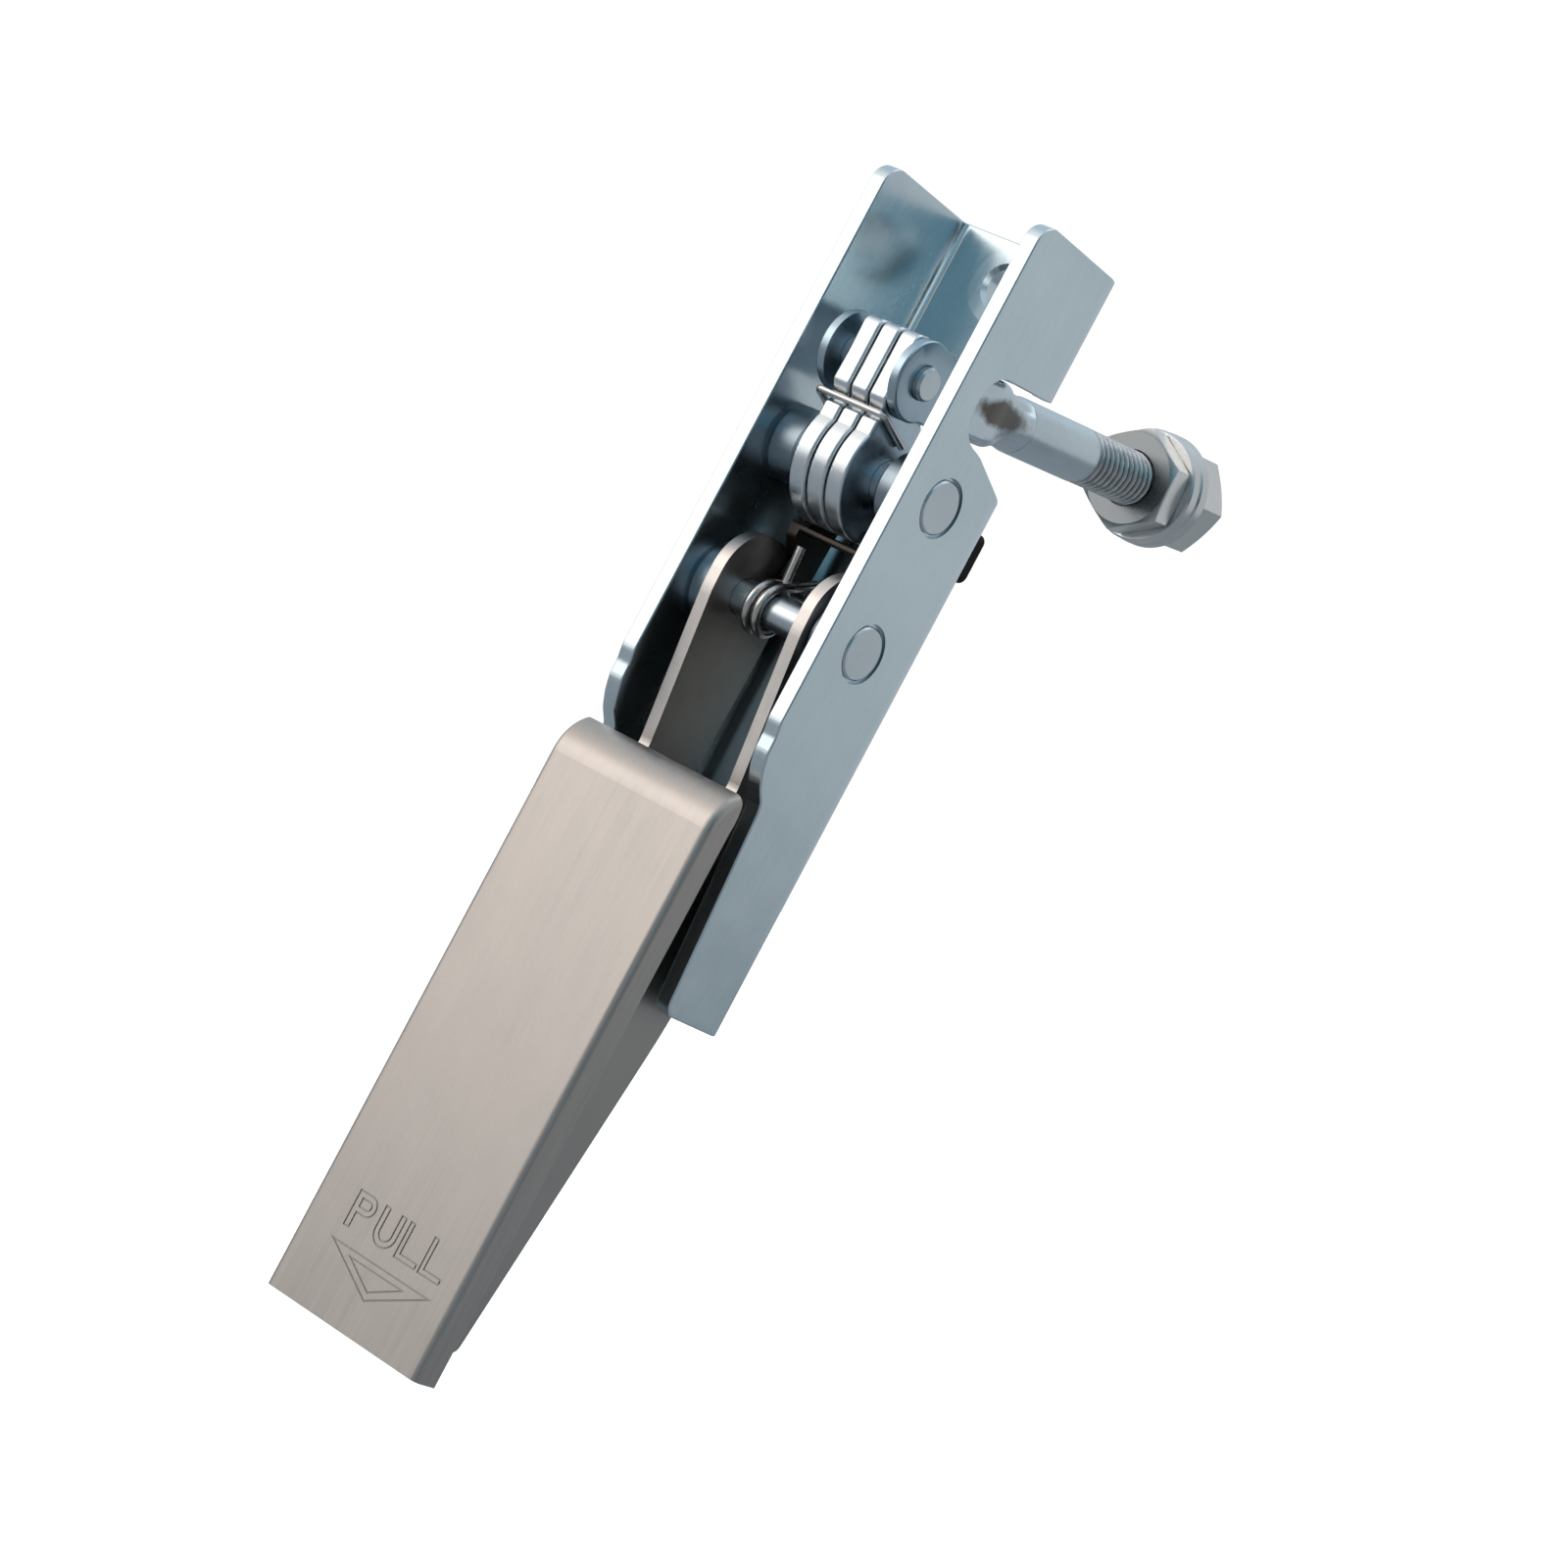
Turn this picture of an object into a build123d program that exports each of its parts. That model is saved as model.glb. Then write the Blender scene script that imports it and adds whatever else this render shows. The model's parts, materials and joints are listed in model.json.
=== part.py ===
from build123d import *
import os
from math import radians, degrees, sin, cos, tan, atan, atan2, sqrt, pi

# Recessed pull latch with a lever, a crank and an adjustable draw rod.
# Frame, in millimetres: X across the latch, Y through its depth (front is -Y,
# the fixing face is y = 0), Z along its length, lever's free end down.
# The origin is the centre of the two fixing screws on the fixing face.

# ---- housing channel (zinc-plated sheet) ----
WALL_T = 1.8            # sheet thickness
CH_HALF_W = 10.75       # outer half width
CH_TOP = 41.8           # half length, top and bottom
CH_FRONT = -16.6        # front edge of the deep upper part
CH_BEND_R = 2.8         # outer bend radius
CH_TOP_R = 2.3          # rounded front corner at the top
WIN_BOT, WIN_TOP = 16.3, 28.85   # rod window through the web
FIX_PITCH = 73.7        # centre distance of the two fixing threads
FIX_R = 2.1             # core radius of an M5 thread
BOSS_R, BOSS_H = 4.0, 1.4       # burred collar round each thread

# ---- pivots (y, z) ----
A = (-10.0, -2.4)       # lever pivot
B = (-10.0, 13.48)      # crank pivot
C = (-13.7, 23.44)      # rod pivot, on the crank
LINK_A, LINK_B, LINK_ANG = 4.8, 5.5, 20.0
D = (A[0] + LINK_A * cos(radians(LINK_ANG)), A[1] + LINK_A * sin(radians(LINK_ANG)))
E = (B[0] + LINK_B * cos(radians(LINK_ANG)), B[1] + LINK_B * sin(radians(LINK_ANG)))
PIN_A_R, PIN_B_R, PIN_C_R, PIN_L_R = 1.9, 2.3, 1.75, 1.25
RUN = 0.05              # radial running clearance
PIN_HEAD_R, PIN_HEAD_T = 2.78, 1.0
RING_R, RING_D = 3.12, 0.45     # groove round each riveted head

# ---- lever ----
ARM_OUT, ARM_T = 6.67, 1.4
COVER_HALF_W, COVER_T = 10.75, 1.1
COVER_FRONT, COVER_BACK = -18.9, -15.65
COVER_BOT, COVER_BEND_Z = -82.96, -24.3
COVER_ROLL_R, COVER_ROLL_ANG = 5.12, 59.2

# ---- crank ----
PLATE_T, PLATE_GAP = 2.13, 0.245
HUB_R = 6.48

# ---- rod (M6) ----
ROD_R, THREAD_R = 3.0, 2.94
ROD_TILT = 7.63
ROD_X = -0.55          # the fork sits to the left of the crank, within its side play
EAR_IN, EAR_OUT, EAR_R = 4.15, 5.2, 4.17
THREAD_FROM, ROD_END = 36.57, 61.2
NUT_AF, THIN_NUT_T, NUT_T = 10.2, 3.2, 5.0
WASHER_R, WASHER_T = 6.2, 1.6
NUT1_FROM = 47.85

PARTS = {}


def rounded(pts):
    """Closed face from (u, v) or (u, v, radius) corners, with tangent arcs."""
    n = len(pts)
    edges, ends, need = [], [], []
    for i in range(n):
        p = pts[i]
        r = p[2] if len(p) > 2 else 0.0
        a, b = pts[i - 1], pts[(i + 1) % n]
        if r <= 0:
            ends.append(((p[0], p[1]), (p[0], p[1]), None))
            continue
        ux, uy = a[0] - p[0], a[1] - p[1]
        vx, vy = b[0] - p[0], b[1] - p[1]
        lu, lv = sqrt(ux * ux + uy * uy), sqrt(vx * vx + vy * vy)
        ux, uy, vx, vy = ux / lu, uy / lu, vx / lv, vy / lv
        cosang = max(-1, min(1, ux * vx + uy * vy))
        half = 0.5 * atan2(sqrt(1 - cosang ** 2), cosang)
        d = r / tan(half)
        need.append((i, d, lu, lv))
        t1, t2 = (p[0] + ux * d, p[1] + uy * d), (p[0] + vx * d, p[1] + vy * d)
        bx, by = ux + vx, uy + vy
        bl = sqrt(bx * bx + by * by)
        k = r / sin(half) - r
        mid = (p[0] + bx / bl * k, p[1] + by / bl * k)
        ends.append((t1, t2, mid))
    tangent = [0.0] * n
    for i, d, lu, lv in need:
        tangent[i] = d
    for i, d, lu, lv in need:
        if d + tangent[i - 1] > lu + 1e-6 or d + tangent[(i + 1) % n] > lv + 1e-6:
            raise ValueError("corner %d of %s has too large a radius" % (i, pts[:2]))
    for i in range(n):
        t1, t2, mid = ends[i]
        if mid is not None:
            edges.append(ThreePointArc(t1, mid, t2))
        nxt = ends[(i + 1) % n][0]
        if sqrt((nxt[0] - t2[0]) ** 2 + (nxt[1] - t2[1]) ** 2) > 1e-6:
            edges.append(Line(t2, nxt))
    return make_face(edges)


def along_x(face, x0, x1):
    """Extrude a (y, z) face from x0 to x1."""
    return extrude(Plane.YZ.offset(x0) * face, amount=x1 - x0)


def cyl_x(centre, r, x0, x1):
    return along_x(Pos(centre[0], centre[1]) * Circle(r), x0, x1)


def box(x0, x1, y0, y1, z0, z1):
    return Pos((x0 + x1) / 2, (y0 + y1) / 2, (z0 + z1) / 2) * Box(x1 - x0, y1 - y0, z1 - z0)


def single(shape):
    s = shape.solids()
    return s[0] if len(s) == 1 else Compound(children=list(s))


def try_fillet(shape, edges, r):
    try:
        out = fillet(edges, r)
        was, now = shape.bounding_box().size, out.bounding_box().size
        if out.is_valid and 0.8 * shape.volume < out.volume < 1.01 * shape.volume and (now - was).length < 0.02:
            return out
        print("fillet left out: its result is wrong")
    except Exception as err:
        print("fillet left out:", err)
    return shape


# ---------------------------------------------------------------- housing
CH_IN = CH_HALF_W - WALL_T
u_out = rounded([(-CH_HALF_W, -30), (CH_HALF_W, -30), (CH_HALF_W, 0, CH_BEND_R), (-CH_HALF_W, 0, CH_BEND_R)])
u_in = rounded([(-CH_IN, -31), (CH_IN, -31), (CH_IN, -WALL_T, 1.0), (-CH_IN, -WALL_T, 1.0)])
channel = extrude(u_out, CH_TOP, both=True) - extrude(u_in, CH_TOP + 1, both=True)
side = rounded([
    (5, CH_TOP), (CH_FRONT, CH_TOP, CH_TOP_R), (CH_FRONT, -12.1, 3.0), (-16.22, -13.6, 2.0), (-16.15, -15.4, 3.0),
    (-15.6, -16.9, 3.0), (-14.7, -18.4, 3.0), (-13.35, -19.7, 1.2), (-13.06, -20.6, 3.0), (-11.0, -CH_TOP, 1.6), (5, -CH_TOP)])
channel = channel & along_x(side, -12, 12)
rim = [e for e in channel.edges() if e.bounding_box().size.X < 0.01 and min(abs(abs(e.center().X) - CH_HALF_W), abs(abs(e.center().X) - CH_IN)) < 0.01
       and e.center().Y < CH_FRONT + 6 and not (abs(e.center().X) < CH_HALF_W - 0.01 and e.center().Y > -3)]
channel = try_fillet(channel, rim, 0.2)
notch = rounded([
    (5, 28.95), (-1.0, 28.4, 6.0), (-12.85, 27.15, 3.4), (-12.85, 20.5, 3.4), (-8.24, 19.72, 4.0),
    (5, 14.7)])
channel = channel - along_x(notch, -12, 12)
channel = channel - box(-8.2, 8.2, -3, 1, WIN_BOT, WIN_TOP)
for zc in (FIX_PITCH / 2, -FIX_PITCH / 2):
    boss = Plane.XZ.offset(WALL_T - 0.3) * (Pos(0, zc) * Circle(BOSS_R))
    channel = channel + extrude(boss, amount=BOSS_H + 0.3)
    hole = Plane.XZ.offset(-1) * (Pos(0, zc) * Circle(FIX_R))
    channel = channel - extrude(hole, amount=8)
    cone = Plane.XZ.offset(WALL_T + BOSS_H - 0.45) * (Pos(0, zc) * Circle(FIX_R))
    channel = channel - loft([cone.face(), (Plane.XZ.offset(WALL_T + BOSS_H + 0.05) * (Pos(0, zc) * Circle(FIX_R + 0.5))).face()])
for p, r in ((A, PIN_A_R), (B, PIN_B_R)):
    channel = channel - cyl_x(p, r, -12, 12)
    for s in (1, -1):
        x0, x1 = sorted((s * (CH_HALF_W - PIN_HEAD_T), s * (CH_HALF_W + 1)))
        channel = channel - cyl_x(p, PIN_HEAD_R, x0, x1)
        g0, g1 = sorted((s * (CH_HALF_W - RING_D), s * (CH_HALF_W + 1)))
        channel = channel - cyl_x(p, RING_R, g0, g1)
PARTS["housing_channel"] = channel


def riveted_pin(p, r):
    """Shaft across both walls with a flush riveted head at each end."""
    pin = cyl_x(p, r, -CH_HALF_W, CH_HALF_W)
    for s in (1, -1):
        x0, x1 = sorted((s * (CH_HALF_W - PIN_HEAD_T), s * CH_HALF_W))
        head = cyl_x(p, PIN_HEAD_R, x0, x1)
        head = chamfer(head.edges().filter_by(GeomType.CIRCLE).group_by(Axis.X)[-1 if s > 0 else 0], 0.18)
        pin = pin + head
    return pin


PARTS["lever_pivot_pin"] = riveted_pin(A, PIN_A_R)
PARTS["crank_pivot_pin"] = riveted_pin(B, PIN_B_R)


def ring(p, r_out, r_in, x0, x1, cham=0.3):
    b = cyl_x(p, r_out, x0, x1)
    b = chamfer(b.edges().filter_by(GeomType.CIRCLE), cham)
    return b - cyl_x(p, r_in, x0 - 1, x1 + 1)


PARTS["lever_spacer_right"] = ring(A, 4.26, PIN_A_R, ARM_OUT + 0.06, CH_IN)
PARTS["lever_spacer_left"] = ring(A, 4.26, PIN_A_R, -CH_IN, -ARM_OUT - 0.06)
PARTS["crank_collar_right"] = ring(B, 3.9, PIN_B_R, 5.15, CH_IN, 0.45)
PARTS["crank_collar_left"] = ring(B, 3.9, PIN_B_R, -CH_IN, -5.15, 0.45)

pad = box(-9.5, 9.5, 0, 1.9, 8.7, 14.0)
pad = fillet(pad.edges().filter_by(Axis.Y), 0.9)
pad = chamfer(pad.faces().sort_by(Axis.Y)[-1].edges(), 0.75)
PARTS["rear_buffer"] = pad

# ---------------------------------------------------------------- lever
ARM_IN = ARM_OUT - ARM_T
arm_profile = [
    (-15.0, -3.33, 8.0), (-15.15, 4.07, 5.2), (-7.9, 4.07, 2.2), (-4.7, 2.3, 3.4), (-3.0, -2.2, 3.0), (-3.06, -10.0, 20.0), (-4.07, -42.96, 60.0),
    (-9.54, -80.2, 1.0), (-18.5, -80.2), (-18.5, -28.0), (-14.5, -26.6, 1.5), (-12.6, -24.6, 2.0), (-12.1, -19.5, 3.0)]
WEB_Y = COVER_FRONT + COVER_T      # front face of the bracket's web, on the cover
section = rounded([(-ARM_OUT, 10), (ARM_OUT, 10), (ARM_OUT, WEB_Y, 2.0), (-ARM_OUT, WEB_Y, 2.0)]) - rounded(
    [(-ARM_IN, 11), (ARM_IN, 11), (ARM_IN, WEB_Y + ARM_T, 0.6), (-ARM_IN, WEB_Y + ARM_T, 0.6)])
bracket = extrude(section, 100, both=True) & along_x(rounded(arm_profile), -ARM_OUT - 1, ARM_OUT + 1)
bracket = bracket - box(-ARM_IN, ARM_IN, -30, 10, -26.2, 20)
bracket = bracket - cyl_x(A, PIN_A_R + RUN, -9, 9) - cyl_x(D, PIN_L_R, -9, 9)
PARTS["lever_bracket"] = bracket

cyc, czc = COVER_FRONT + COVER_ROLL_R, COVER_BEND_Z
ri = COVER_ROLL_R - COVER_T


def roll(r, deg):
    a = radians(180 - deg)
    return (cyc + r * cos(a), czc + r * sin(a))


def cover_face(back_pts):
    e = [Line((COVER_FRONT, COVER_BOT), (COVER_FRONT, czc)),
         ThreePointArc((COVER_FRONT, czc), roll(COVER_ROLL_R, COVER_ROLL_ANG / 2), roll(COVER_ROLL_R, COVER_ROLL_ANG))]
    last = roll(COVER_ROLL_R, COVER_ROLL_ANG)
    for q in back_pts:
        if len(q) == 2:
            e.append(Line(last, q))
            last = q
        else:
            e.append(ThreePointArc(last, (q[0], q[1]), (q[2], q[3])))
            last = (q[2], q[3])
    e.append(Line(last, (COVER_FRONT, COVER_BOT)))
    return make_face(e)


tip_i = roll(ri, COVER_ROLL_ANG)
mid_i = roll(ri, COVER_ROLL_ANG / 2)
plate_face = cover_face([tip_i, (mid_i[0], mid_i[1], COVER_FRONT + COVER_T, czc), (COVER_FRONT + COVER_T, COVER_BOT)])
flange_face = cover_face([tip_i, (-15.62, -21.9, COVER_BACK, -23.6), (COVER_BACK, COVER_BOT)])
cover = along_x(plate_face, -COVER_HALF_W, COVER_HALF_W)
cover = cover + along_x(flange_face, -COVER_HALF_W, -COVER_HALF_W + COVER_T) + along_x(flange_face, COVER_HALF_W - COVER_T, COVER_HALF_W)
long_edges = [e for e in cover.edges() if abs(abs(e.center().X) - COVER_HALF_W) < 0.01 and e.center().Y < -16.6
              and abs(e.bounding_box().size.X) < 0.01 and e.length > 3 and (abs(e.center().Y - COVER_FRONT) < 0.6 or e.center().Z > czc) and e.center().Z > COVER_BOT + 1
              and not (abs(e.center().Y - COVER_BACK) < 0.4)]
cover = try_fillet(cover, long_edges, 0.9)


def outline(face):
    """Narrow band that follows a face's edges."""
    return offset(face, 0.09, kind=Kind.INTERSECTION) - offset(face, -0.09, kind=Kind.INTERSECTION)


# engraved word and arrow head, drawn as outlines, in (x, z)
TOP, BASE = -70.38, -74.08
letter_p = rounded([(-5.55, TOP), (-2.8, TOP, 1.0), (-2.8, -72.46, 1.0), (-4.86, -72.46), (-4.86, BASE), (-5.55, BASE)]) - rounded(
    [(-4.86, -70.98), (-3.42, -70.98, 0.4), (-3.42, -71.87, 0.4), (-4.86, -71.87)])
letter_u = rounded([(-1.92, TOP), (0.95, TOP), (0.95, BASE, 1.38), (-1.92, BASE, 1.38)]) - rounded(
    [(-1.3, -69), (0.33, -69), (0.33, -73.47, 0.78), (-1.3, -73.47, 0.78)])


def letter_l(x):
    return rounded([(x, TOP), (x + 0.54, TOP), (x + 0.54, -73.54), (x + 2.86, -73.54), (x + 2.86, BASE), (x, BASE)])


arrow_out = rounded([(-5.84, -75.72), (7.73, -75.72), (0.98, -79.2)])
arrow_in = rounded([(-2.9, -76.4), (4.5, -76.4), (0.86, -78.36)])
for shape in (letter_p, letter_u, letter_l(1.62), letter_l(4.96), arrow_out, arrow_in):
    band = Plane.XZ.offset(-COVER_FRONT - 0.09) * outline(shape)
    cover = cover - extrude(band, amount=0.5)
PARTS["lever_cover"] = cover

PARTS["link_pin_lower"] = cyl_x(D, PIN_L_R, -ARM_OUT, ARM_OUT)

# ---------------------------------------------------------------- crank
crank_arm = rounded([
    (-15.74, 13.0), (-15.74, 17.95, 0.45), (-15.12, 18.62, 0.45), (-16.39, 20.05, 0.9), (-16.39, 27.2, 1.0), (-14.26, 27.62, 1.2),
    (-12.35, 26.75, 1.2), (-11.25, 24.2, 3.0), (-10.1, 21.3, 2.5), (-7.6, 18.8), (-10.0, 13.48)])
hub = Pos(*B) * Circle(HUB_R)
lobe = make_hull([*(Pos(*E) * Circle(2.4)).edges(), *(Pos(B[0] + 1.2, B[1] - 0.6) * Circle(4.6)).edges()])
crank_2d = hub + crank_arm + lobe


def crank_plate(x0, x1):
    p = along_x(crank_2d, x0, x1)
    edges = [e for e in p.edges() if e.bounding_box().size.X < 0.01]
    for r in (0.36, 0.3, 0.24):
        q = try_fillet(p, edges, r)
        if q is not p:
            p = q
            break
    p = p - cyl_x(B, PIN_B_R + RUN, -9, 9) - cyl_x(C, PIN_C_R, -9, 9) - cyl_x(E, PIN_L_R, -9, 9)
    return p


CLIP_R, CLIP_L, CLIP_RT = 0.36, -4.72, 3.9
CLIP_FRONT = (-15.95, 18.7)
CLIP_END = (-11.0, 17.2)
half = 1.5 * PLATE_T + PLATE_GAP
PARTS["crank_plate_left"] = crank_plate(-half, -half + PLATE_T)
PARTS["crank_plate_middle"] = crank_plate(-PLATE_T / 2, PLATE_T / 2)
PARTS["crank_plate_right"] = crank_plate(half - PLATE_T, half)
PARTS["link_pin_upper"] = cyl_x(E, PIN_L_R, -4.95, 4.95)

pin_c = cyl_x(C, PIN_C_R, ROD_X - 6.0, ROD_X + 6.0)
pin_c = chamfer(pin_c.edges().filter_by(GeomType.CIRCLE), 0.25)
PARTS["rod_pivot_pin"] = pin_c

clip_path = FilletPolyline(
    (CLIP_L, *CLIP_END), (CLIP_L, *CLIP_FRONT), (CLIP_RT, *CLIP_FRONT), (CLIP_RT, *CLIP_END), radius=0.6)
clip = sweep(Plane(origin=clip_path @ 0, z_dir=clip_path % 0) * Circle(CLIP_R), path=clip_path)
PARTS["wire_clip"] = clip

# ---------------------------------------------------------------- link yoke
LINK_IN, LINK_T = 3.7, 1.25
link_mid = ((D[0] + E[0]) / 2 + 0.3, (D[1] + E[1]) / 2)
link_face = (Pos(*D) * Circle(2.4)) + (Pos(*E) * Circle(2.4)) + (Pos(*link_mid) * Rot(0, 0, -degrees(atan((E[0] - D[0]) / (E[1] - D[1])))) * Rectangle(3.4, E[1] - D[1]))
lug = rounded([(-5.5, 2.2), (-7.4, 3.4, 1.5), (-9.2, 5.2, 0.6), (-9.2, 6.6, 0.5), (-7.6, 6.9, 0.8), (-6.9, 9.0, 1.5), (-5.5, 10.0)])
yoke = None
for s in (1, -1):
    x0, x1 = sorted((s * LINK_IN, s * (LINK_IN + LINK_T)))
    side_plate = along_x(link_face + lug, x0, x1)
    yoke = side_plate if yoke is None else yoke + side_plate
bridge = along_x(rounded([(-9.2, 5.85, 0.3), (-9.2, 6.65, 0.3), (-8.1, 6.65, 0.3), (-8.1, 5.85, 0.3)]), -LINK_IN - LINK_T, LINK_IN + LINK_T)
yoke = yoke + bridge
yoke = yoke - cyl_x(D, PIN_L_R + RUN, -9, 9) - cyl_x(E, PIN_L_R + 0.38, -9, 9)
PARTS["link_yoke"] = yoke

# ---------------------------------------------------------------- rod
ROD_LOC = Pos(ROD_X, *C) * Rot(ROD_TILT, 0, 0)
ears = along_x(Circle(EAR_R) + Pos(3.0, 0) * Rectangle(6.0, 7.6), -EAR_OUT, EAR_OUT)
ear_rim = [e for e in ears.edges() if e.bounding_box().size.X < 0.01 and e.center().Y < 5]
ears = try_fillet(ears, ear_rim, 0.28)


def station(t, face):
    """A face drawn in (x, height), set across the rod's axis at distance t."""
    return (Plane(origin=(0, t, 0), x_dir=(1, 0, 0), z_dir=(0, 1, 0)) * face).face()


arms = loft([station(5.0, RectangleRounded(2 * EAR_OUT, 7.6, 0.5)), station(8.3, RectangleRounded(2 * EAR_OUT, 6.2, 0.5))])
arms = arms + extrude(station(8.2, RectangleRounded(2 * EAR_OUT, 6.2, 0.5)), amount=4.4)
neck = loft([station(12.5, RectangleRounded(2 * EAR_OUT, 6.3, 0.6)), station(14.5, RectangleRounded(9.9, 6.9, 1.4)), station(18.0, RectangleRounded(7.8, 6.4, 2.6)), station(24.0, Circle(ROD_R))])
shank = extrude(station(23.9, Circle(ROD_R)), amount=THREAD_FROM - 23.9)
thread = extrude(station(THREAD_FROM, Circle(THREAD_R)), amount=ROD_END - THREAD_FROM)
thread = chamfer(thread.edges().filter_by(GeomType.CIRCLE).sort_by(Axis.Y)[-1], 0.7)
rod = ears + arms + neck + shank + thread
slot = box(-EAR_IN, EAR_IN, -8, 11.2, -8, 8)
rod = rod - fillet(slot.edges().filter_by(Axis.Z).group_by(Axis.Y)[-1], 1.2)
rod = rod - cyl_x((0, 0), PIN_C_R + RUN, -9, 9)
PARTS["fork_rod"] = ROD_LOC * rod


def hex_nut(t0, thick, rot_deg):
    """Hexagon nut round the rod, with both faces chamfered to a circle."""
    corner = NUT_AF / sqrt(3)
    pl = Plane(origin=(0, t0, 0), x_dir=(1, 0, 0), z_dir=(0, 1, 0))
    body = extrude(pl * (Rot(0, 0, -rot_deg) * RegularPolygon(corner, 6)), amount=thick)
    # turned blank whose ends slope at 30 degrees from the washer circle
    rc = NUT_AF / 2 * 0.985
    dz = (corner + 0.05 - rc) * tan(radians(30))
    blank = revolve(Plane.XY * make_face(Polyline(
        (0, t0), (rc, t0), (corner + 0.05, t0 + dz), (corner + 0.05, t0 + thick - dz), (rc, t0 + thick), (0, t0 + thick), close=True)), Axis.Y)
    nut = body & blank
    nut = nut - extrude(pl.offset(-1) * Circle(THREAD_R), amount=thick + 2)
    for a, b, sgn in ((t0, t0 + 0.2, 1), (t0 + thick, t0 + thick - 0.2, -1)):
        sink = revolve(make_face(Polyline((0, a - 0.01 * sgn), (THREAD_R + 0.2, a - 0.01 * sgn), (THREAD_R, b), (0, b), close=True)), Axis.Y)
        nut = nut - sink
    return nut


def washer(t0, thick, r_out):
    w = extrude(station(t0, Circle(r_out)), amount=thick)
    w = chamfer(w.edges().filter_by(GeomType.CIRCLE), 0.2)
    return w - extrude(station(t0 - 1, Circle(3.2)), amount=thick + 2)


t = NUT1_FROM
PARTS["thin_nut"] = ROD_LOC * hex_nut(t, THIN_NUT_T, 28.4)
t += THIN_NUT_T + 0.02
PARTS["front_washer"] = ROD_LOC * washer(t, WASHER_T, WASHER_R)
t += WASHER_T + 0.02
PARTS["rear_washer"] = ROD_LOC * washer(t, WASHER_T, WASHER_R + 0.1)
t += WASHER_T + 0.02
PARTS["rear_nut"] = ROD_LOC * hex_nut(t, NUT_T, 2.0)

# ---------------------------------------------------------------- torsion spring
SPR_R, SPR_WIRE, SPR_PITCH, SPR_TURNS, SPR_X1 = 2.5, 0.5, 1.33, 1.702, -0.86
SPR_X0 = SPR_X1 - SPR_PITCH * SPR_TURNS
START = 5.7             # degrees, the left end's place on the coil
helix = Helix(pitch=SPR_PITCH, height=SPR_PITCH * SPR_TURNS, radius=SPR_R, lefthand=True)
coil = sweep(Plane(origin=helix @ 0, z_dir=helix % 0) * Circle(SPR_WIRE), path=helix, is_frenet=True)
coil = Plane(origin=(SPR_X0, A[0], A[1]), x_dir=(0, 1, 0), z_dir=(1, 0, 0)).location * Rot(0, 0, START) * coil


def wire(p, q, r):
    d = Vector(*q) - Vector(*p)
    return extrude(Plane(origin=p, z_dir=d) * Circle(r), amount=d.length)


a0, a1 = radians(START), radians(START - 360 * SPR_TURNS)
left = (SPR_X0, A[0] + SPR_R * cos(a0), A[1] + SPR_R * sin(a0))
right = (SPR_X1, A[0] + SPR_R * cos(a1), A[1] + SPR_R * sin(a1))
up_leg = (SPR_X0, -8.30, 4.60)      # ends under the yoke's bridge
back_leg = (SPR_X1 + 0.1, right[1] + 8.6 * sin(a1), right[2] - 8.6 * cos(a1))     # ends near the web
coil = coil + wire(left, up_leg, SPR_WIRE) + wire(right, back_leg, SPR_WIRE)
PARTS["torsion_spring"] = coil

# ---------------------------------------------------------------- write
os.makedirs("parts", exist_ok=True)
for name, shape in PARTS.items():
    export_step(single(shape), "parts/" + name + ".step")
print(len(PARTS), "nodes")
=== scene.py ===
import json
import math

import bmesh
import bpy
from mathutils import Matrix, Vector


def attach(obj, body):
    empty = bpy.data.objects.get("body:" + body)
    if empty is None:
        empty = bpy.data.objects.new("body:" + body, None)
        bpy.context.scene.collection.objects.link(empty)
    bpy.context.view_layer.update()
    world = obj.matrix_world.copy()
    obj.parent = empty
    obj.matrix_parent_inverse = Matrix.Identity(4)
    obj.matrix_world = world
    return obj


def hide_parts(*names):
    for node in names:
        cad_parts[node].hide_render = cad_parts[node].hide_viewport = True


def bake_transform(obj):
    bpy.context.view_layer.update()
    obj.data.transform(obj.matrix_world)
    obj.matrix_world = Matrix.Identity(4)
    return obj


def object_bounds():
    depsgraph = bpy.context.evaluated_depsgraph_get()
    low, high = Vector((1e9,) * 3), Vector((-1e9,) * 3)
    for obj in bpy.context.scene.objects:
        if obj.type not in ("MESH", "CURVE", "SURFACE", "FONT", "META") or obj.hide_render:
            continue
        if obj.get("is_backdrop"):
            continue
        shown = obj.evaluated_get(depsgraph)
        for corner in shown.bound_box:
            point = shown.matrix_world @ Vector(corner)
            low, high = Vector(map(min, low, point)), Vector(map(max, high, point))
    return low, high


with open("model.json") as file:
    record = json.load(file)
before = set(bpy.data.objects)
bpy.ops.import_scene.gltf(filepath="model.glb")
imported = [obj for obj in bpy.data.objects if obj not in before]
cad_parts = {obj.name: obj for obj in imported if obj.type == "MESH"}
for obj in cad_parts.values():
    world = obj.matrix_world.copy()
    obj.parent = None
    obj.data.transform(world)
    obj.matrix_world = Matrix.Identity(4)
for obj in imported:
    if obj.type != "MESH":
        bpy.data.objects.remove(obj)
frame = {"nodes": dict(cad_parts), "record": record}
CAD_LO, CAD_HI = (list(v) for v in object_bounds())
nodes = frame["nodes"]
scene = bpy.context.scene
MM = 0.001

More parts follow.
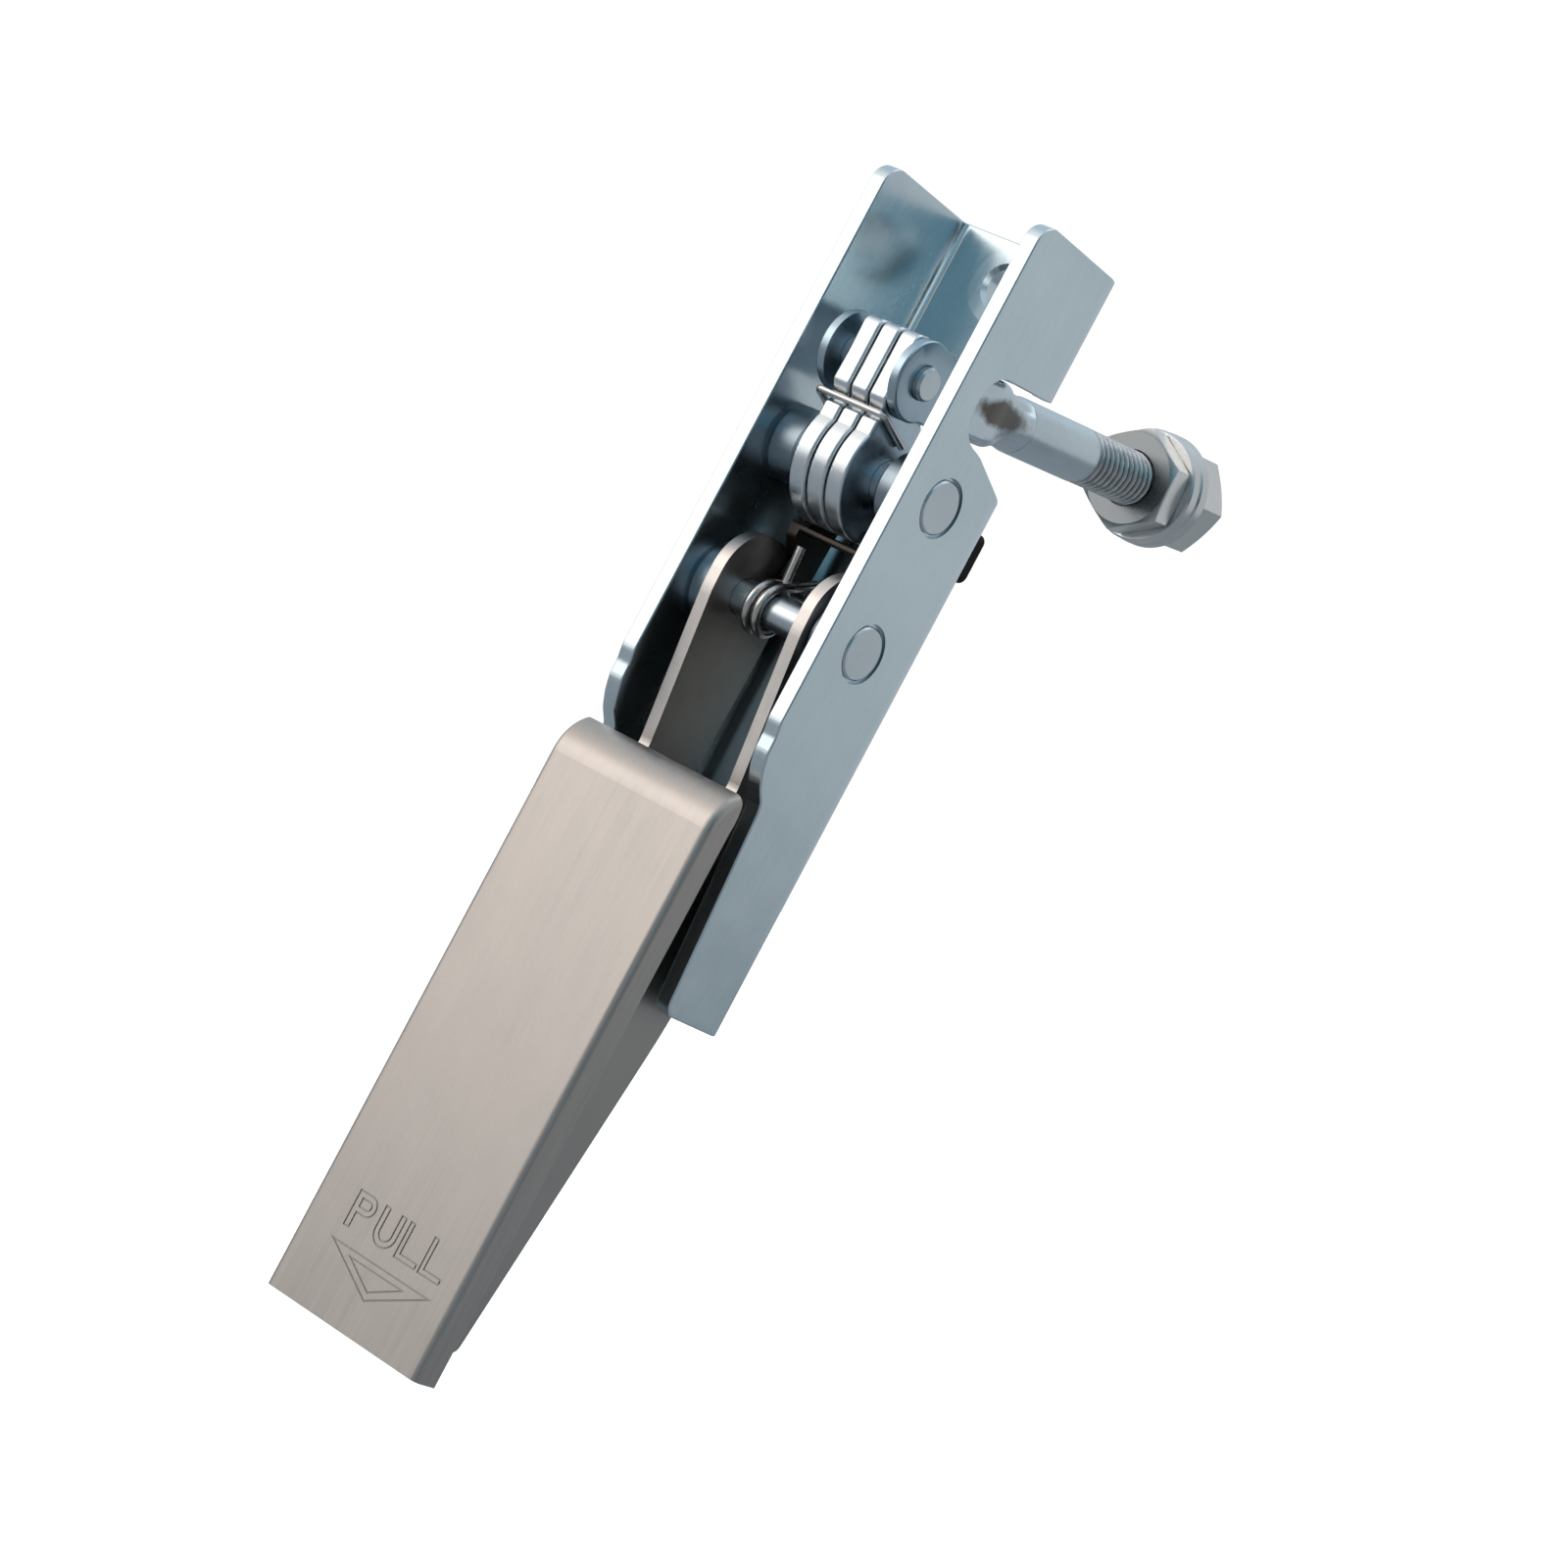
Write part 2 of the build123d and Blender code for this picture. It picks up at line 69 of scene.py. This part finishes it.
# ---------------------------------------------------------------- camera
cam_data = bpy.data.cameras.new("camera")
cam_data.lens = 94.45
cam_data.sensor_width = 36.0
cam_data.clip_start, cam_data.clip_end = 0.01, 20.0
cam = bpy.data.objects.new("camera", cam_data)
scene.collection.objects.link(cam)
right = Vector((0.725, 0.504, 0.4694)).normalized()
fwd = Vector((-0.5787, 0.8153, 0.0184)).normalized()
up = right.cross(fwd).normalized()
right = fwd.cross(up).normalized()
rot = Matrix((right, up, -fwd)).transposed()
cam.matrix_world = Matrix.Translation(Vector((238.20, -332.01, -24.19)) * MM) @ rot.to_4x4()
scene.camera = cam


# ---------------------------------------------------------------- node helpers
class Mat:
    """A node material with a few shorthands."""

    def __init__(self, name, metallic=1.0, **sockets):
        self.m = bpy.data.materials.new(name)
        self.m.use_nodes = True
        self.t = self.m.node_tree
        self.bsdf = self.t.nodes["Principled BSDF"]
        self.bsdf.inputs["Metallic"].default_value = metallic
        for k, v in sockets.items():
            self.bsdf.inputs[k.replace("_", " ")].default_value = v
        self.coord = self.t.nodes.new("ShaderNodeTexCoord").outputs["Object"]

    def link(self, a, b):
        self.t.links.new(a, b)

    def mapped(self, scale, rot=(0, 0, 0), loc=(0, 0, 0)):
        n = self.t.nodes.new("ShaderNodeMapping")
        n.inputs["Scale"].default_value = scale
        n.inputs["Rotation"].default_value = rot
        n.inputs["Location"].default_value = loc
        self.link(self.coord, n.inputs["Vector"])
        return n.outputs["Vector"]

    def noise(self, vec, scale=1.0, detail=3.0, rough=0.5, distortion=0.0):
        n = self.t.nodes.new("ShaderNodeTexNoise")
        n.inputs["Scale"].default_value = scale
        n.inputs["Detail"].default_value = detail
        n.inputs["Roughness"].default_value = rough
        n.inputs["Distortion"].default_value = distortion
        self.link(vec, n.inputs["Vector"])
        return n.outputs["Fac"]

    def range(self, fac, a, b, c, d):
        n = self.t.nodes.new("ShaderNodeMapRange")
        self.link(fac, n.inputs["Value"])
        for k, v in zip(("From Min", "From Max", "To Min", "To Max"), (a, b, c, d)):
            n.inputs[k].default_value = v
        return n.outputs["Result"]

    def math(self, op, a, b=None):
        n = self.t.nodes.new("ShaderNodeMath")
        n.operation = op
        for i, v in enumerate((a, b)):
            if v is None:
                continue
            if isinstance(v, (int, float)):
                n.inputs[i].default_value = v
            else:
                self.link(v, n.inputs[i])
        return n.outputs["Value"]

    def mix(self, fac, a, b, blend="MIX"):
        n = self.t.nodes.new("ShaderNodeMix")
        n.data_type = "RGBA"
        n.blend_type = blend
        if isinstance(fac, (int, float)):
            n.inputs["Factor"].default_value = fac
        else:
            self.link(fac, n.inputs["Factor"])
        for i, v in ((6, a), (7, b)):
            if isinstance(v, tuple):
                n.inputs[i].default_value = (*v, 1.0)
            else:
                self.link(v, n.inputs[i])
        return n.outputs[2]

    def ramp(self, fac, stops):
        n = self.t.nodes.new("ShaderNodeValToRGB")
        self.link(fac, n.inputs["Fac"])
        els = n.color_ramp.elements
        while len(els) < len(stops):
            els.new(0.5)
        for e, (pos, col) in zip(els, stops):
            e.position = pos
            e.color = (*col, 1.0) if isinstance(col, tuple) else (col, col, col, 1.0)
        return n.outputs["Color"]

    def bump(self, height, strength, distance, normal=None):
        n = self.t.nodes.new("ShaderNodeBump")
        n.inputs["Strength"].default_value = strength
        n.inputs["Distance"].default_value = distance
        self.link(height, n.inputs["Height"])
        if normal is not None:
            self.link(normal, n.inputs["Normal"])
        return n.outputs["Normal"]

    def axis(self, which):
        n = self.t.nodes.new("ShaderNodeSeparateXYZ")
        self.link(self.coord, n.inputs["Vector"])
        return n.outputs[which]

    def color(self, v):
        self.link(v, self.bsdf.inputs["Base Color"])

    def rough(self, v):
        self.link(v, self.bsdf.inputs["Roughness"])

    def normal(self, v):
        self.link(v, self.bsdf.inputs["Normal"])


def plated(name, light, dark, r0, r1, grain=(1, 1, 1), bump=0.25, blotch=90.0, wave=0.0, tint=None, **kw):
    """Zinc-plated or tumbled steel: cloudy tone, fine pits and faint drawn lines along the sheet."""
    m = Mat(name, **kw)
    cloud = m.noise(m.mapped((1, 1, 1)), blotch, 4.0, 0.55)
    fine = m.noise(m.mapped((1, 1, 1)), 2600.0, 3.0, 0.6)
    lines = m.noise(m.mapped(grain), 1.0, 2.0, 0.6)
    col = m.mix(m.range(cloud, 0.3, 0.7, 0.0, 1.0), dark, light)
    col = m.mix(m.range(lines, 0.35, 0.7, 0.0, 0.22), col, tuple(min(1.0, c * 1.12) for c in light))
    if tint is not None:
        col = tint(m, col)
    m.color(col)
    rr = m.math("ADD", m.range(cloud, 0.3, 0.7, r0, (r0 + r1) / 2), m.range(lines, 0.3, 0.75, 0.0, (r1 - r0) / 2))
    m.rough(rr)
    n = m.bump(fine, bump * 0.35, 0.00002)
    if wave:
        n = m.bump(m.noise(m.mapped((1, 1, 1)), 110.0, 1.0, 0.4), wave, 0.0006, n)
    m.normal(m.bump(lines, bump, 0.00001, n))
    return m.m


TILT, ROD_X, C_Y, C_Z = math.radians(7.63), -0.55, -13.7, 23.44


def rod_axes(m):
    """Place along and across the rod, in metres: (x, t, height)."""
    back = -(Matrix.Rotation(-TILT, 3, "X") @ (Vector((ROD_X, C_Y, C_Z)) * MM))
    sep = m.t.nodes.new("ShaderNodeSeparateXYZ")
    m.link(m.mapped((1, 1, 1), (-TILT, 0, 0), tuple(back)), sep.inputs["Vector"])
    return sep.outputs


def fork_painted_reflections(m, col):
    """Painted light: bluish painted shade and reflection on the forked end, and a dark brown painted reflection in
    the hollow where it runs into the shank.
    """
    x, t, h = rod_axes(m)
    # painted bluish shade and reflection on the forked end
    col = m.mix(m.range(t, 0.006, 0.010, 0.75, 0.0), col, (0.30, 0.40, 0.47))
    dt = m.math("DIVIDE", m.math("SUBTRACT", t, 0.0158), 0.0072)
    dh = m.math("DIVIDE", m.math("SUBTRACT", h, 0.0003), 0.00145)
    d = m.math("SQRT", m.math("ADD", m.math("MULTIPLY", dt, dt), m.math("MULTIPLY", dh, dh)))
    wob = m.noise(m.mapped((1, 1, 1)), 500.0, 3.0, 0.6)
    d = m.math("ADD", d, m.range(wob, 0.3, 0.7, -0.18, 0.18))
    # painted reflection: dark brown in the hollow where the fork meets the shank
    return m.mix(m.range(d, 0.70, 1.12, 0.93, 0.0), col, (0.075, 0.058, 0.042))


def nut_front_painted_shade(m, col):
    """Painted shade: the turned faces at the nut's front are painted dull and dark."""
    x, t, h = rod_axes(m)
    return m.mix(m.range(t, 0.04790, 0.04845, 0.92, 0.0), col, (0.20, 0.215, 0.225))


def arm_faces_painted_shade(m, col):
    """Painted shade: the arms' flat faces are painted darker than their sheared edges."""
    ax = m.math("ABSOLUTE", m.axis(0))
    edge = m.math("MULTIPLY", m.range(ax, 0.005275, 0.005310, 0.0, 1.0), m.range(ax, 0.006635, 0.006665, 1.0, 0.0))
    return m.mix(edge, m.mix(0.85, col, (0.33, 0.305, 0.285)), col)


def crank_sides_painted_reflection(m, col):
    """Painted reflection: the crank's outer faces are painted bluer than its polished edges."""
    ax = m.math("ABSOLUTE", m.axis(0))
    return m.mix(m.range(ax, 0.00325, 0.00340, 0.0, 0.8), col, (0.38, 0.48, 0.56))


MAT = {}
MAT["zinc_sheet"] = plated("zinc_sheet", (0.575, 0.645, 0.675), (0.50, 0.575, 0.61), 0.21, 0.29, grain=(1500, 1500, 220), bump=0.10, wave=0.15)
MAT["arm_steel"] = plated("arm_steel", (0.60, 0.56, 0.53), (0.50, 0.465, 0.44), 0.32, 0.46, grain=(1800, 1800, 260), tint=arm_faces_painted_shade)
MAT["crank_steel"] = plated("crank_steel", (0.66, 0.69, 0.71), (0.56, 0.60, 0.625), 0.22, 0.36, grain=(900, 900, 900), bump=0.18, tint=crank_sides_painted_reflection)
MAT["pin_steel"] = plated("pin_steel", (0.56, 0.605, 0.63), (0.47, 0.515, 0.545), 0.24, 0.36, grain=(400, 2200, 2200), bump=0.15)
# painted shade: the collars get a darker copy of the plated steel
MAT["collar_steel"] = plated("collar_steel", (0.30, 0.35, 0.39), (0.20, 0.245, 0.285), 0.24, 0.38, grain=(400, 2000, 2000))
# painted shade: the link is painted near-black brown, dark as the shade under the crank
MAT["link_steel"] = plated("link_steel", (0.070, 0.059, 0.051), (0.045, 0.038, 0.033), 0.32, 0.48, grain=(1400, 1400, 300))
MAT["rod_zinc"] = plated("rod_zinc", (0.58, 0.645, 0.68), (0.49, 0.555, 0.59), 0.25, 0.35, grain=(2000, 220, 2000), bump=0.12, tint=fork_painted_reflections)
MAT["nut_zinc"] = plated("nut_zinc", (0.72, 0.715, 0.70), (0.62, 0.615, 0.60), 0.24, 0.36, grain=(500, 500, 500), bump=0.15, tint=nut_front_painted_shade)
MAT["washer_zinc"] = plated("washer_zinc", (0.66, 0.66, 0.65), (0.54, 0.545, 0.54), 0.24, 0.36, grain=(700, 700, 700), bump=0.15)
MAT["spring_steel"] = plated("spring_steel", (0.62, 0.60, 0.575), (0.48, 0.46, 0.44), 0.20, 0.32, grain=(2000, 900, 900))


def brushed(name):
    """Stainless sheet, brushed along Z, with streaks of uneven tone."""
    m = Mat(name, Anisotropic=0.35)
    fine = m.noise(m.mapped((5200, 5200, 90)), 1.0, 3.0, 0.65)
    mid = m.noise(m.mapped((1500, 1500, 34)), 1.0, 2.0, 0.5)
    broad = m.noise(m.mapped((160, 160, 14)), 1.0, 2.0, 0.5)
    tone = m.mix(m.range(mid, 0.3, 0.7, 0.0, 1.0), (0.385, 0.350, 0.325), (0.425, 0.390, 0.364))
    tone = m.mix(m.range(broad, 0.3, 0.7, 0.0, 0.35), tone, (0.43, 0.385, 0.355))
    cloud = m.noise(m.mapped((260, 260, 150)), 1.0, 4.0, 0.6)
    tone = m.mix(m.range(cloud, 0.35, 0.65, 0.0, 0.30), tone, (0.345, 0.320, 0.300))
    tone = m.mix(m.range(fine, 0.4, 0.75, 0.0, 0.45), tone, (0.50, 0.465, 0.435))
    # painted shade: the engraved lines, which lie a little behind the front face, are painted dark
    y, ax = m.axis(1), m.math("ABSOLUTE", m.axis(0))
    engraving_shade = m.math("MULTIPLY", m.range(y, -0.018885, -0.018840, 0.0, 1.0), m.range(y, -0.01878, -0.01875, 1.0, 0.0))
    engraving_shade = m.math("MULTIPLY", engraving_shade, m.range(ax, 0.0088, 0.0090, 1.0, 0.0))
    engraving_shade = m.math("MULTIPLY", engraving_shade, m.range(m.axis(2), -0.0690, -0.0688, 0.6, 0.0))
    tone = m.mix(engraving_shade, tone, (0.20, 0.185, 0.172))
    m.color(tone)
    m.rough(m.math("ADD", m.range(fine, 0.25, 0.75, 0.30, 0.44), m.range(mid, 0.3, 0.7, 0.0, 0.06)))
    n = m.bump(fine, 0.22, 0.000010)
    m.normal(m.bump(mid, 0.10, 0.000015, n))
    return m.m


MAT["cover_stainless"] = brushed("cover_stainless")


def rubber(name):
    m = Mat(name, metallic=0.0)
    f = m.noise(m.mapped((1, 1, 1)), 1800.0, 4.0, 0.6)
    m.color(m.mix(m.range(f, 0.3, 0.7, 0.0, 1.0), (0.003, 0.003, 0.0035), (0.008, 0.008, 0.009)))
    m.bsdf.inputs["Specular IOR Level"].default_value = 0.2
    m.rough(m.range(f, 0.3, 0.7, 0.6, 0.8))
    m.normal(m.bump(f, 0.5, 0.00004))
    return m.m


MAT["buffer_black"] = rubber("buffer_black")

slot_of = {s["node"]: s["material_slot"] for s in frame["record"]["subparts"]}
for name, o in nodes.items():
    o.data.materials.clear()
    o.data.materials.append(MAT[slot_of[name]])

# ---------------------------------------------------------------- rod with its rolled thread
T0, T1, PITCH, R_CREST, R_ROOT = 36.57, 61.2, 1.0, 2.97, 2.42
ROD = Matrix.Translation(Vector((ROD_X, C_Y, C_Z)) * MM) @ Matrix.Rotation(TILT, 4, "X") @ Matrix.Scale(MM, 4)


def thread_metal(name):
    """Zinc, painted dark brown in the roots by distance from the rod's axis: painted shade in the thread's
    grooves.
    """
    m = Mat(name)
    x, t, h = rod_axes(m)
    xx = m.math("MULTIPLY", x, x)
    zz = m.math("MULTIPLY", h, h)
    r = m.math("SQRT", m.math("ADD", xx, zz))
    dirt = m.noise(m.mapped((1, 1, 1)), 900.0, 3.0, 0.6)
    crest = m.mix(m.range(dirt, 0.3, 0.7, 0.0, 1.0), (0.42, 0.42, 0.41), (0.60, 0.61, 0.61))
    # painted shade: dark brown roots, lighter crests
    m.color(m.mix(m.range(r, 0.00250, 0.00286, 0.0, 1.0), (0.050, 0.042, 0.036), crest))
    m.rough(m.range(r, 0.00250, 0.00292, 0.55, 0.26))
    return m.m


MAT["rod_thread"] = thread_metal("rod_thread")


def new_object(name, bm, mat, smooth_deg=35.0):
    me = bpy.data.meshes.new(name)
    bm.to_mesh(me)
    bm.free()
    o = bpy.data.objects.new(name, me)
    scene.collection.objects.link(o)
    me.materials.append(mat)
    me.polygons.foreach_set("use_smooth", [True] * len(me.polygons))
    me.update()
    if smooth_deg is not None:
        bm2 = bmesh.new()
        bm2.from_mesh(me)
        lim = math.radians(smooth_deg)
        for e in bm2.edges:
            if len(e.link_faces) == 2 and e.calc_face_angle(0.0) > lim:
                e.smooth = False
        bm2.to_mesh(me)
        bm2.free()
    return o


def thread_radius(t, turn):
    """Radius of the thread at distance t and at a fraction of a turn."""
    f = ((t - T0) / PITCH - turn) % 1.0
    # crest an eighth of the pitch, root a quarter, straight flanks
    if f < 0.0625 or f > 0.9375:
        r = R_CREST
    elif f < 0.375:
        r = R_CREST + (R_ROOT - R_CREST) * (f - 0.0625) / 0.3125
    elif f < 0.625:
        r = R_ROOT
    else:
        r = R_ROOT + (R_CREST - R_ROOT) * (f - 0.625) / 0.3125
    run_in = min(1.0, max(0.0, (t - T0) / 1.4))
    r = 3.0 + (r - 3.0) * run_in
    run_out = max(0.0, (t - (T1 - 0.75)) / 0.75)
    return min(r, 3.0 - 0.62 * run_out)


bm = bmesh.new()
COLS, STEP = 72, 1.0 / 12.0
rows = int(round((T1 - T0) / STEP))
grid = []
for i in range(rows + 1):
    t = T0 + (T1 - T0) * i / rows
    ring = []
    for j in range(COLS):
        a = 2 * math.pi * j / COLS
        r = thread_radius(t, j / COLS)
        ring.append(bm.verts.new((r * math.sin(a), t, r * math.cos(a))))
    grid.append(ring)
for i in range(rows):
    for j in range(COLS):
        k = (j + 1) % COLS
        bm.faces.new((grid[i][j], grid[i][k], grid[i + 1][k], grid[i + 1][j]))
bm.faces.new(grid[0])
bm.faces.new(list(reversed(grid[-1])))
bm.transform(ROD)
bmesh.ops.recalc_face_normals(bm, faces=bm.faces)
thread = new_object("rod_thread_part", bm, MAT["rod_thread"], 50.0)

bm = bmesh.new()
bm.from_mesh(nodes["fork_rod"].data)
bmesh.ops.remove_doubles(bm, verts=bm.verts, dist=1e-7)
cut_point = ROD @ Vector((0, T0, 0))
cut_dir = (ROD.to_3x3() @ Vector((0, 1, 0))).normalized()
out = bmesh.ops.bisect_plane(bm, geom=bm.verts[:] + bm.edges[:] + bm.faces[:], plane_co=cut_point, plane_no=cut_dir, clear_outer=True)
rim = [e for e in out["geom_cut"] if isinstance(e, bmesh.types.BMEdge)]
if rim:
    bmesh.ops.contextual_create(bm, geom=rim)
shank = new_object("rod_shank_part", bm, MAT["rod_zinc"], 30.0)

for o in bpy.context.selected_objects:
    o.select_set(False)
for o in (thread, shank):
    o.select_set(True)
bpy.context.view_layer.objects.active = shank
bpy.ops.object.join()
shank.name = "threaded_rod"
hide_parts("fork_rod")
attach(shank, "rod")

# ---------------------------------------------------------------- spring, its upper leg sliced across by thirteen planes
bm = bmesh.new()
bm.from_mesh(nodes["torsion_spring"].data)
bmesh.ops.remove_doubles(bm, verts=bm.verts, dist=1e-7)
lean = Vector((-1.0, 0.0, 1.0)).normalized()
leg_from, leg_to = Vector((-2.15, -8.0, 2.15)) * MM, Vector((-3.5, -8.0, 3.5)) * MM
for i in range(13):
    cut_at = leg_from.lerp(leg_to, i / 12)
    bmesh.ops.bisect_plane(bm, geom=bm.verts[:] + bm.edges[:] + bm.faces[:], plane_co=cut_at, plane_no=lean)
spring = new_object("twisting_spring", bm, MAT["spring_steel"], 40.0)
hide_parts("torsion_spring")
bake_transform(spring)

# ---------------------------------------------------------------- stage and light
floor_z = CAD_LO[2] - 0.12
bpy.ops.mesh.primitive_plane_add(size=1.0, location=(0, 0, floor_z))
floor = bpy.context.object
floor.name = "floor"
floor.scale = (30, 30, 1)
fm = Mat("floor_white", metallic=0.0)
fm.bsdf.inputs["Base Color"].default_value = (0.92, 0.92, 0.92, 1)
fm.bsdf.inputs["Roughness"].default_value = 0.9
fm.bsdf.inputs["Specular IOR Level"].default_value = 0.1
fm.bsdf.inputs["Emission Color"].default_value = (1, 1, 1, 1)
fm.bsdf.inputs["Emission Strength"].default_value = 0.8
# white to the eye, a mid grey in the metal's reflections
fl = fm.t.nodes.new("ShaderNodeBsdfDiffuse")
fl.inputs["Color"].default_value = (0.38, 0.39, 0.40, 1)
fp = fm.t.nodes.new("ShaderNodeLightPath")
fx = fm.t.nodes.new("ShaderNodeMixShader")
fo = fm.t.nodes["Material Output"]
fm.link(fp.outputs["Is Camera Ray"], fx.inputs["Fac"])
fm.link(fl.outputs["BSDF"], fx.inputs[1])
fm.link(fm.bsdf.outputs["BSDF"], fx.inputs[2])
fm.link(fx.outputs["Shader"], fo.inputs["Surface"])
floor.data.materials.append(fm.m)
floor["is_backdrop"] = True

world = bpy.data.worlds.new("studio")
scene.world = world
world.use_nodes = True
wt = world.node_tree
for n in list(wt.nodes):
    wt.nodes.remove(n)


def wnode(kind, **inp):
    n = wt.nodes.new(kind)
    for k, v in inp.items():
        n.inputs[k.replace("_", " ")].default_value = v
    return n


wout = wnode("ShaderNodeOutputWorld")
direction = wnode("ShaderNodeTexCoord").outputs["Generated"]


def lobe(axis, lo, hi):
    """0 to 1 as the direction turns towards axis; lo and hi are cosines."""
    d = wnode("ShaderNodeVectorMath")
    d.operation = "DOT_PRODUCT"
    wt.links.new(direction, d.inputs[0])
    d.inputs[1].default_value = Vector(axis).normalized()
    r = wnode("ShaderNodeMapRange")
    r.interpolation_type = "SMOOTHSTEP"
    wt.links.new(d.outputs["Value"], r.inputs["Value"])
    r.inputs["From Min"].default_value = lo
    r.inputs["From Max"].default_value = hi
    return r.outputs["Result"]


def wmix(fac, a, b):
    n = wnode("ShaderNodeMix")
    n.data_type = "RGBA"
    wt.links.new(fac, n.inputs["Factor"])
    for i, v in ((6, a), (7, b)):
        if isinstance(v, tuple):
            n.inputs[i].default_value = (*v, 1.0)
        else:
            wt.links.new(v, n.inputs[i])
    return n.outputs[2]


# up bright and bluish, down dim; behind on the right an even grey wall; a warm soft box in front on
# the left; a dark room in front on the right, with a pale blue window above it
sky = wmix(lobe((0, 0, 1), -0.30, 0.80), (0.12, 0.12, 0.13), (0.66, 0.78, 0.88))
sky = wmix(lobe((0.52, 0.85, 0.08), 0.30, 0.90), sky, (0.62, 0.66, 0.69))
sky = wmix(lobe((-0.70, -0.70, 0.10), 0.45, 0.92), sky, (1.36, 1.31, 1.26))
sky = wmix(lobe((0.74, -0.67, -0.08), 0.62, 0.90), sky, (0.020, 0.028, 0.040))
sky = wmix(lobe((0.56, -0.78, 0.30), 0.90, 0.975), sky, (0.25, 0.48, 0.60))
bg_light = wnode("ShaderNodeBackground", Strength=1.0)
wt.links.new(sky, bg_light.inputs["Color"])
bg_white = wnode("ShaderNodeBackground", Strength=1.05)
bg_white.inputs["Color"].default_value = (1, 1, 1, 1)
path = wnode("ShaderNodeLightPath")
mixer = wnode("ShaderNodeMixShader")
wt.links.new(path.outputs["Is Camera Ray"], mixer.inputs["Fac"])
wt.links.new(bg_light.outputs["Background"], mixer.inputs[1])
wt.links.new(bg_white.outputs["Background"], mixer.inputs[2])
wt.links.new(mixer.outputs["Shader"], wout.inputs["Surface"])


def area(name, where, target, size, power, color=(1, 1, 1)):
    d = bpy.data.lights.new(name, "AREA")
    d.shape = "RECTANGLE"
    d.size, d.size_y = size
    d.energy = power
    d.color = color
    o = bpy.data.objects.new(name, d)
    scene.collection.objects.link(o)
    o.location = where
    o.rotation_mode = "QUATERNION"
    o.rotation_quaternion = (Vector(target) - Vector(where)).to_track_quat("-Z", "Y")
    return o


mid = (0, -0.01, -0.01)
area("key_left", (-0.54, -0.76, 0.16), (-0.02, -0.01, 0.16), (1.0, 0.70), 2.5, (1.0, 0.96, 0.92))
area("top", (0.10, 0.25, 0.95), mid, (0.7, 0.7), 1.2, (0.94, 0.98, 1.0))

scene.view_settings.view_transform = "Standard"
scene.view_settings.look = "None"
scene.view_settings.exposure = 0.0
scene.view_settings.gamma = 1.0
